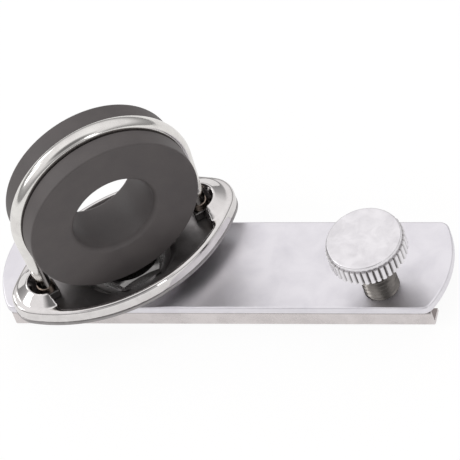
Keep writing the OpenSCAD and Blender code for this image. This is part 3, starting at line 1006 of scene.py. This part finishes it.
class LEADCAR_OT_leg_fittings(bpy.types.Operator):
    """The square nut and the ferrule on each leg of the hoop"""

    bl_idname = "lead_car.leg_fittings"
    bl_label = "Leg Nuts and Ferrules"

    def execute(self, context):
        eye = context.scene.lead_car_eye
        width = eye.nut_width
        height = NUTS_HIGH.z - NUTS_LOW.z
        ferrule_x = leg_place(eye, NUTS_HIGH.z)
        nut_x = leg_place(eye, NUTS_LOW.z - NUT_FOOT)
        nuts = []
        ferrules = []
        for side in (-1, 1):
            deselect()
            bpy.ops.mesh.primitive_cube_add(size=1, location=(side * nut_x, 0, NUTS_LOW.z + height / 2),
                                            scale=(width, width, height))
            bpy.ops.object.transform_apply(location=True, rotation=True, scale=True)
            nut = context.object
            edit(nut, "EDGE")
            bpy.ops.mesh.select_all(action="SELECT")
            bpy.ops.mesh.bevel(offset=0.5 * MM, segments=4, affect="EDGES")
            deselect()
            nuts.append(nut)
            wire = eye.wire / 2
            ferrule = turned("ferrule", (wire, 0), [
                (wire + 0.35 * MM, 0), (wire + 0.35 * MM, 0.15 * MM, 90, 4),
                (wire + 0.3 * MM, eye.ferrule_height - 0.2 * MM),
                (wire + 0.1 * MM, eye.ferrule_height - 0.2 * MM, 90, 4),
                (wire, eye.ferrule_height), (wire, 0)], 48)
            put(ferrule, Matrix.Translation((side * ferrule_x, 0, NUTS_HIGH.z))
                @ Matrix.Rotation(side * eye.leg_lean, 4, "Y"))
            ferrules.append(ferrule)
        finishes = (
            (nuts, "square_leg_nuts", "bolt_steel", "leg_nuts",
             # the nuts' steel is coloured dark: painted shade for the shade in the pockets under the pads
             polished_steel("shaded_nut_steel", (0.22, 0.215, 0.21), (0.15, 0.146, 0.143), (0.24, 0.38))),
            (ferrules, "brazed_ferrules", "braze_bronze", "leg_ferrules",
             polished_steel("braze", (0.4, 0.34, 0.29), (0.26, 0.21, 0.18), (0.24, 0.42))))
        for group, name, slot, node, material in finishes:
            choose(group[0])
            group[1].select_set(True)
            bpy.ops.object.join()
            group[0].name = name
            put(group[0], ON_SWIVEL)
            soften(group[0], 35)
            finish_piece(group[0], "swivel", node, material)
        return {"FINISHED"}


class LEADCAR_OT_bulls_eye(bpy.types.Operator):
    """Turned black bull's-eye with rounded mouths and a groove for the wire"""

    bl_idname = "lead_car.bulls_eye"
    bl_label = "Bull's-Eye"

    def execute(self, context):
        eye = context.scene.lead_car_eye
        rim, half = eye_rim(), eye_thickness() / 2
        bore, mouth, edge = eye.bore / 2, eye.mouth, eye.edge_round
        groove = eye.groove
        centre = rim + WIRE_SEAT - eye.wire / 2 - eye.wire_gap + groove
        lip = math.sqrt(groove ** 2 - (centre - rim) ** 2)
        sweep = 360 - 2 * math.degrees(math.atan2(lip, rim - centre))
        ring = turned("turned_bulls_eye", (bore + mouth, -half), [
            (rim - edge, -half), (rim - edge, -half + edge, 90, 6), (rim, -lip),
            (centre, 0, -sweep, 24), (rim, half - edge), (rim - edge, half - edge, 90, 6),
            (bore + mouth, half), (bore + mouth, half - mouth, 90, 10), (bore, -half + mouth),
            (bore + mouth, -half + mouth, 90, 10)], 160)
        put(ring, ON_EYE @ Matrix.Rotation(math.pi / 2, 4, "X"))
        soften(ring, 35)
        finish_piece(ring, "eye", "bulls_eye",
                     black_composite("black_composite", (0.12, 0.108, 0.106), (0.062, 0.056, 0.057)))
        return {"FINISHED"}


class LEADCAR_OT_knurled_head(bpy.types.Operator):
    """Head of the clamp screw: straight knurl, smooth band and a flat satin top"""

    bl_idname = "lead_car.knurled_head"
    bl_label = "Knurled Head"

    def execute(self, context):
        sizes = context.scene.lead_car_screw
        radius = (HEAD_HIGH.x - HEAD_LOW.x) / 2
        root = radius - sizes.tooth_depth
        low, top = HEAD_LOW.z, HEAD_HIGH.z
        band = top - sizes.band_height
        bore = sizes.thread / 2 - sizes.thread_depth
        neck, cap, bend = radius - sizes.neck_inset, radius - sizes.cap_inset, sizes.cap_round
        ring = rod(radius, low, band, sides=4 * sizes.teeth)
        edit(ring, "EDGE")
        step = math.tau / (4 * sizes.teeth)

        def in_groove(a, b):
            if abs(a.z - b.z) < MM:
                return False
            turn = round(math.atan2(a.y, a.x) / step)
            return turn % 4 == 2

        pick_edges(ring, in_groove)
        bpy.ops.transform.resize(value=(root / radius, root / radius, 1), center_override=(0, 0, 0))
        deselect()
        apply_modifier(ring, "BEVEL", width=0.1 * MM, segments=2, limit_method="ANGLE",
                       angle_limit=math.radians(25))
        body = turned("knurled_screw_head", (0, low + 0.05 * MM), [
            (neck - 0.2 * MM, low + 0.05 * MM), (neck, low + 0.25 * MM), (neck, band + 0.5 * MM),
            (cap, band + 0.7 * MM), (cap, top - bend), (cap - bend, top - bend, 90, 5), (0, top)], 160)
        combine(body, ring, "UNION")
        combine(body, rod(bore, low - MM, low + 3 * MM), "DIFFERENCE")
        put(body, ON_SCREW)
        soften(body, 30)
        # the knurl's grooves get painted shade in this material
        finish_piece(body, "thumb_screw", "knurled_head",
                     knurled_steel("head_steel", (0.93, 0.915, 0.94), (0.8, 0.785, 0.81), (0.3, 0.4),
                                   root, radius, band))
        return {"FINISHED"}


class LEADCAR_OT_screw_stud(bpy.types.Operator):
    """Threaded shank of the clamp screw with a true helical thread"""

    bl_idname = "lead_car.screw_stud"
    bl_label = "Screw Stud"

    def execute(self, context):
        sizes = context.scene.lead_car_screw
        core = sizes.thread / 2 - sizes.thread_depth
        crest, pitch = sizes.thread / 2, sizes.pitch
        dog_low = STUD_LOW.z
        tip = dog_low + 0.6 * MM
        shank_top = HEAD_LOW.z + 2.9 * MM
        stud = turned("threaded_stud", (0, dog_low), [
            (1.35 * MM, dog_low), (1.5 * MM, dog_low + 0.15 * MM), (1.5 * MM, tip),
            (core - 0.4 * MM, tip), (core, tip + 0.4 * MM), (core, shank_top), (0, shank_top)], 96)
        turns = int((HEAD_LOW.z - tip - 0.4 * MM) / pitch)
        start = tip + 0.2 * MM
        pen = Pen("thread", (core - 0.15 * MM, 0, start))
        for r, z in ((core, 0), (crest, 0.42), (crest, 0.54), (core, 0.96), (core - 0.15 * MM, 0.96)):
            pen.line((r, 0, start + z * pitch))
        pen.line((core - 0.15 * MM, 0, start))
        pen.close()
        bpy.ops.object.mode_set(mode="OBJECT")
        thread = pen.piece
        apply_modifier(thread, "SCREW", axis="Z", screw_offset=pitch, iterations=turns, steps=48,
                       render_steps=48, angle=math.tau, use_merge_vertices=True, merge_threshold=WELD)
        edit(thread, "EDGE")
        bpy.ops.mesh.select_all(action="SELECT")
        bpy.ops.mesh.fill_holes(sides=0)
        face_out()
        combine(stud, thread, "UNION")
        put(stud, ON_SCREW)
        soften(stud, 30)
        # the thread's steel is coloured dark: painted shade for the shadow under the knurled head
        finish_piece(stud, "thumb_screw", "screw_stud",
                     turned_metal("shaded_thread_steel", (0.24, 0.225, 0.21), (0.16, 0.15, 0.142), (0.25, 0.4),
                                  SCREW_LINE, rings=1800.0))
        return {"FINISHED"}


class LEADCAR_OT_small_parts(bpy.types.Operator):
    """Finishes of the rivets, pivot, washers, bush, sole screws and clamp pad, whose shapes stay"""

    bl_idname = "lead_car.small_parts"
    bl_label = "Small Parts"

    def execute(self, context):
        finishes = {
            "plate_rivets": satin_steel(
                "rivet_steel", (0.76, 0.75, 0.79), (0.68, 0.67, 0.7), (0.25, 0.38)),
            # the pivot bolt's steel is coloured dark: painted shade for the shade down in the well
            "pivot_bolt": polished_steel(
                "shaded_pivot_steel", (0.32, 0.315, 0.31), (0.24, 0.236, 0.232), (0.22, 0.34)),
            "thrust_washer": moulded_plastic("washer_plastic", (0.8, 0.79, 0.75), (0.72, 0.71, 0.67)),
            "spring_washer": turned_metal(
                "spring_steel", (0.6, 0.6, 0.6), (0.5, 0.5, 0.5), (0.2, 0.3), PIVOT_LINE),
            "pivot_bush": turned_metal(
                "bush_bronze", (0.6, 0.42, 0.22), (0.5, 0.34, 0.18), (0.25, 0.4), PIVOT_LINE),
            "sole_screws": polished_steel(
                "small_screw_steel", (0.6, 0.6, 0.6), (0.5, 0.5, 0.5), (0.15, 0.25)),
            "clamp_pad": turned_metal(
                "pad_bronze", (0.62, 0.45, 0.25), (0.52, 0.36, 0.2), (0.28, 0.42), SCREW_LINE),
        }
        for name, material in finishes.items():
            mesh = frame["nodes"][name].data
            mesh.materials.clear()
            mesh.materials.append(material)
        return {"FINISHED"}


class LEADCAR_PT_panel(bpy.types.Panel):
    """Lists the sizes and the pieces in the sidebar"""

    bl_idname = "LEADCAR_PT_panel"
    bl_label = "Lead Car"
    bl_space_type = "VIEW_3D"
    bl_region_type = "UI"
    bl_category = "Lead Car"

    def draw(self, context):
        for name in SETTINGS:
            group = getattr(context.scene, name)
            box = self.layout.box()
            for label in group.__annotations__:
                box.prop(group, label)
        for operator in OPERATORS:
            self.layout.operator(operator.bl_idname)


SETTINGS = {
    "lead_car_car": CarSizes,
    "lead_car_base": BaseSizes,
    "lead_car_eye": EyeSizes,
    "lead_car_screw": ScrewSizes,
    "lead_car_stage": StageSettings,
}
OPERATORS = (
    LEADCAR_OT_stage,
    LEADCAR_OT_track_channel,
    LEADCAR_OT_top_plate,
    LEADCAR_OT_sole_plate,
    LEADCAR_OT_base_rim,
    LEADCAR_OT_wire_hoop,
    LEADCAR_OT_leg_fittings,
    LEADCAR_OT_bulls_eye,
    LEADCAR_OT_knurled_head,
    LEADCAR_OT_screw_stud,
    LEADCAR_OT_small_parts,
)


def register():
    """Registers the settings, the operators and the panel"""
    for name, group in SETTINGS.items():
        bpy.utils.register_class(group)
        setattr(bpy.types.Scene, name, PointerProperty(type=group))
    for operator in OPERATORS:
        bpy.utils.register_class(operator)
    bpy.utils.register_class(LEADCAR_PT_panel)


def unregister():
    """Removes what register added"""
    bpy.utils.unregister_class(LEADCAR_PT_panel)
    for operator in reversed(OPERATORS):
        bpy.utils.unregister_class(operator)
    for name, group in SETTINGS.items():
        delattr(bpy.types.Scene, name)
        bpy.utils.unregister_class(group)


def main():
    """Builds the stage and every piece"""
    register()
    for operator in OPERATORS:
        category, name = operator.bl_idname.split(".")
        getattr(getattr(bpy.ops, category), name)()
    deselect()


if __name__ == "__main__":
    main()
